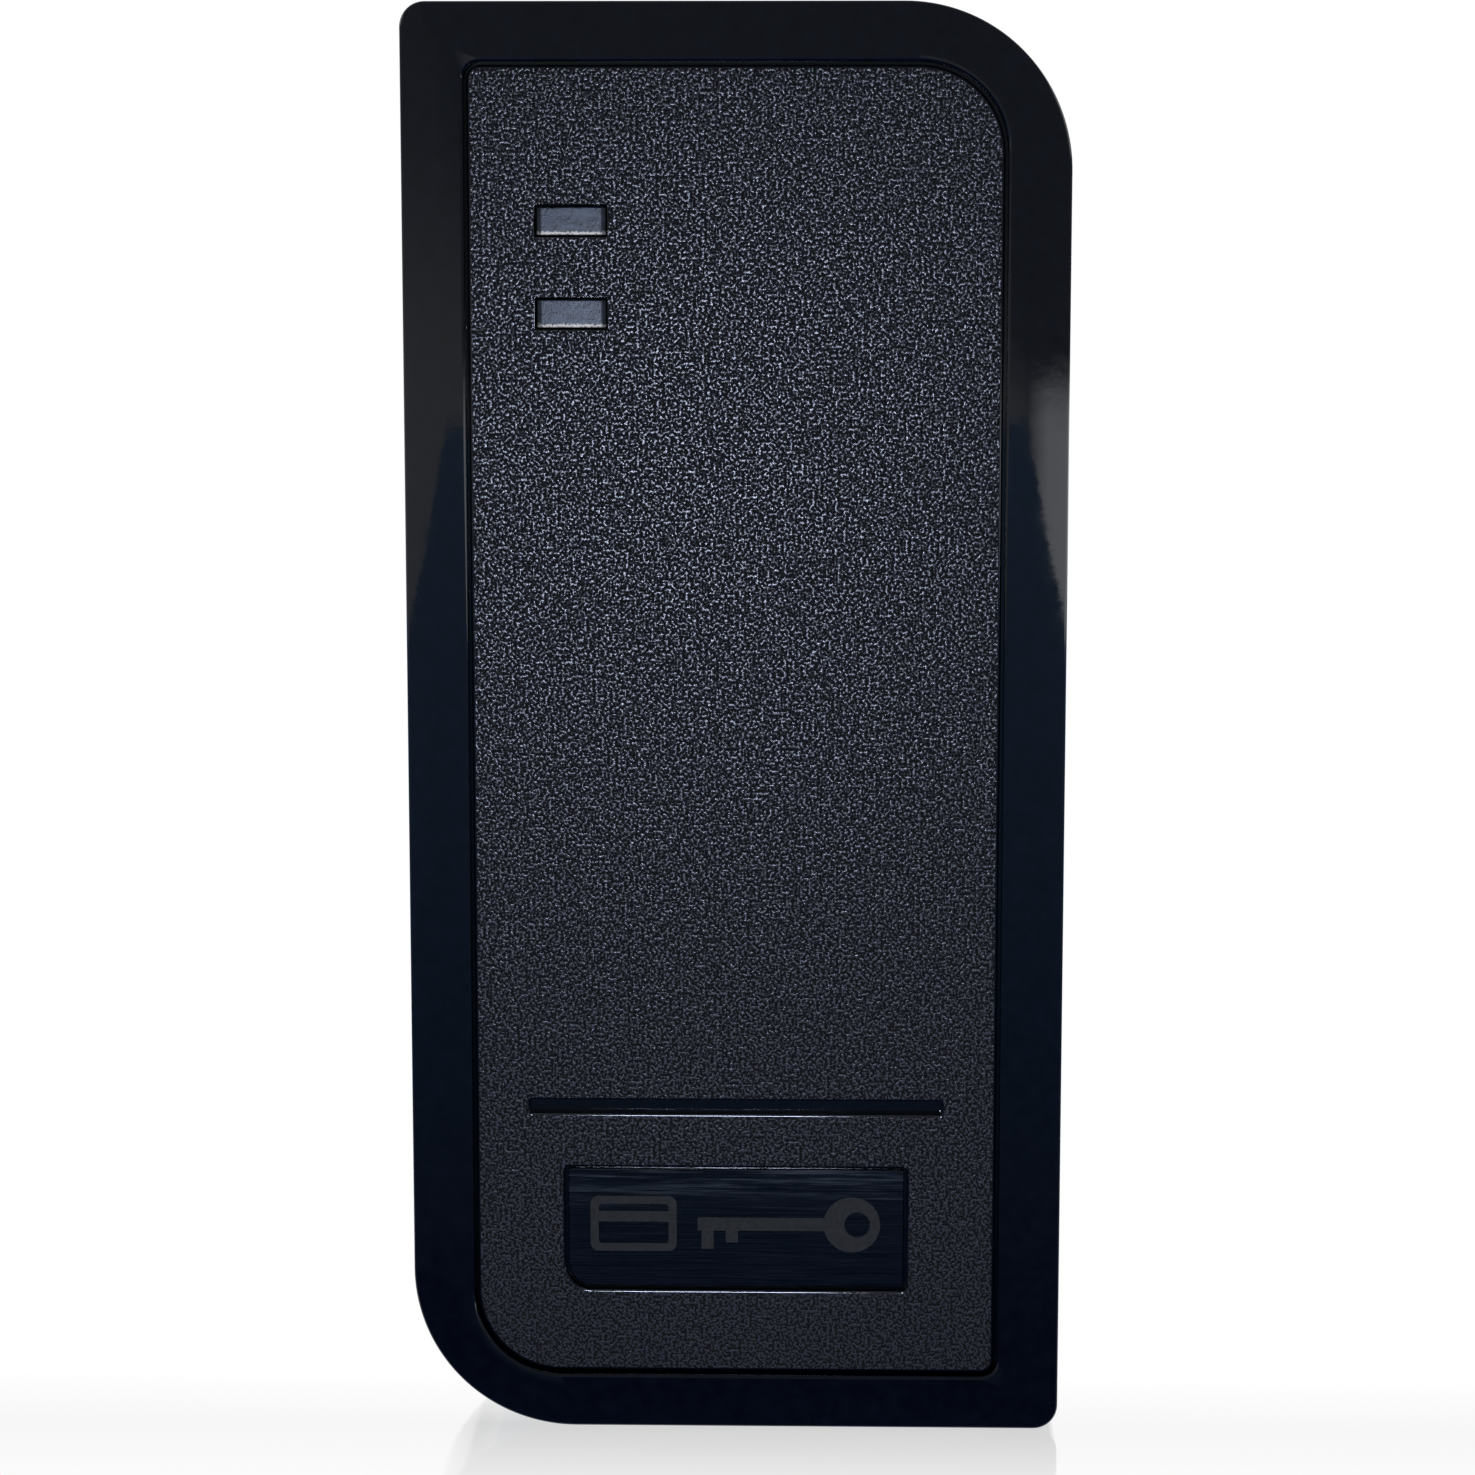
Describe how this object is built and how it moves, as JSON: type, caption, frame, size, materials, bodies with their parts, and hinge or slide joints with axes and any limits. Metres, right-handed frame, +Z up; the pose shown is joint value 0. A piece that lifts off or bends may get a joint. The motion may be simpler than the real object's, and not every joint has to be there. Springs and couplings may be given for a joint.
{
  "type": "proximity card reader",
  "caption": "Slim wall-mounted proximity card reader: glossy leaf-shaped housing, grained face panel, indicator lamps, nameplate, wall plate and sprung tamper plunger.",
  "frame": {"origin": "middle of the wall plate's back face, on the wall", "axes": "+Z up, +Y into the wall (the face panel looks towards -Y), +X to the right as seen from the front"},
  "size_m": [0.048, 0.0175, 0.105],
  "materials": {
    "housing_gloss": "moulded, high gloss, piano black",
    "panel_textured": "moulded, coarse spark-eroded grain",
    "nameplate_gloss": "glossy with fine horizontal brushing",
    "adhesive_tape": "die-cut double-sided tape",
    "lamp_epoxy": "water-clear cast epoxy",
    "tinned_metal": "bright tin plate",
    "black_plastic": "fine-grained moulded plastic",
    "circuit_board": "green solder mask with a fine weave",
    "zinc_steel": "bright zinc plate",
    "former_plastic": "natural nylon",
    "copper_wire": "enamelled copper winding",
    "foam": "closed-cell foam",
    "chip_epoxy": "moulded chip epoxy",
    "capacitor_moulding": "moulded case, satin",
    "crystal_can": "drawn metal can",
    "passive_ceramic": "fired ceramic, satin",
    "spring_steel": "drawn spring wire",
    "header_plastic": "natural nylon, satin",
    "plunger_plastic": "white acetal",
    "gasket_rubber": "silicone, matt",
    "cover_plastic": "moulded, fine grain",
    "grommet_rubber": "soft rubber, matt",
    "plate_plastic": "moulded, fine grain",
    "insert_brass": "turned brass",
    "black_steel": "black oxide steel"
  },
  "bodies": {
    "reader": {"front_housing": "housing_gloss", "face_panel": "panel_textured", "panel_adhesive": "adhesive_tape", "nameplate": "nameplate_gloss", "nameplate_adhesive": "adhesive_tape", "led_upper": "lamp_epoxy", "led_lower": "lamp_epoxy", "led_lead_frames": "tinned_metal", "led_holder": "black_plastic", "pcb": "circuit_board", "pcb_screws": "zinc_steel", "coil_former": "former_plastic", "antenna_coil": "copper_wire", "coil_foam_pads": "foam", "microcontroller": "chip_epoxy", "rf_front_end_chip": "chip_epoxy", "ic_leads": "tinned_metal", "voltage_regulator": "chip_epoxy", "smoothing_capacitor": "capacitor_moulding", "crystal": "crystal_can", "smd_passives": "passive_ceramic", "buzzer_case": "black_plastic", "buzzer_diaphragm": "spring_steel", "wire_header": "header_plastic", "wire_header_pins": "tinned_metal", "tamper_switch_body": "black_plastic", "tamper_spring": "spring_steel", "sealing_gasket": "gasket_rubber", "rear_cover": "cover_plastic", "rear_cover_screws": "zinc_steel", "cable_grommet": "grommet_rubber", "wall_plate": "plate_plastic", "security_insert": "insert_brass", "security_screw": "black_steel"},
    "plunger": {"tamper_plunger": "plunger_plastic"}
  },
  "joints": [
    {"name": "tamper_plunge", "type": "slide", "parent": "reader", "child": "plunger", "axis": [0, 1, 0], "range_m": [0, 0.0015], "stiffness_N_per_m": 100, "springref_m": 0.0027, "deforming": ["tamper_spring"]}
  ]
}
